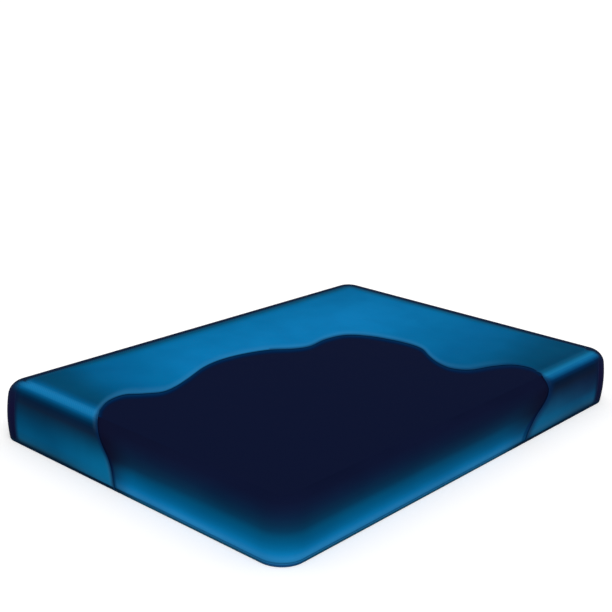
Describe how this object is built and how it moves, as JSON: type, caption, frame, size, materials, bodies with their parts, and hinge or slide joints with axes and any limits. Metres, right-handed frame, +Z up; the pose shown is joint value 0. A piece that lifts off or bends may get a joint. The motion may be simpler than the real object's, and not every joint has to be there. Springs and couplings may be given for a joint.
{
  "type": "waterbed mattress",
  "caption": "Free-flow waterbed mattress: box-shaped blue vinyl skin with rounded corners and welded seams, cut open at a corner to show dark water, with a screw-capped fill valve.",
  "frame": {"origin": "middle of the underside, where the mattress stands on its deck", "axes": "+X to the long right side, +Y to the head end, where the fill valve is, +Z up"},
  "size_m": [1.5258, 2.1586, 0.2299],
  "materials": {
    "water": "dark, clear-looking, still",
    "vinyl": "semi-gloss bright blue",
    "seam_vinyl": "satin navy",
    "valve_vinyl": "satin blue",
    "stopper": "satin off-white",
    "gasket": "matte black",
    "cap": "satin off-white"
  },
  "bodies": {
    "mattress": {"water_charge": "water", "top_panel": "vinyl", "bottom_panel": "vinyl", "foot_wall": "vinyl", "right_side_wall": "vinyl", "left_side_wall": "vinyl", "head_wall": "vinyl", "top_seam_tape": "seam_vinyl", "bottom_seam_strip": "seam_vinyl", "corner_patch_head_right": "seam_vinyl", "corner_patch_head_left": "seam_vinyl", "corner_patch_foot_left": "seam_vinyl", "valve_patch": "vinyl", "valve_body": "valve_vinyl"},
    "cap_carrier": {"cap_gasket": "gasket"},
    "cap": {"valve_cap": "cap"},
    "plug": {"valve_plug": "stopper"}
  },
  "joints": [
    {"name": "cap_lift", "type": "slide", "parent": "mattress", "child": "cap_carrier", "axis": [0, 1, 0], "range_m": [0, 0.06]},
    {"name": "cap_turn", "type": "hinge", "parent": "cap_carrier", "child": "cap", "pos_m": [0, 1.067, 0.08964], "axis": [0, 1, 0], "range_deg": [0, 720]},
    {"name": "plug_pull", "type": "slide", "parent": "mattress", "child": "plug", "axis": [0, 1, 0], "range_m": [0, 0.03]}
  ],
  "couplings": [
    {"joint": "cap_turn", "follows": "cap_lift", "rad_per_m": 209.44},
    {"joint": "plug_pull", "follows": "cap_lift", "ratio": 0.5}
  ]
}
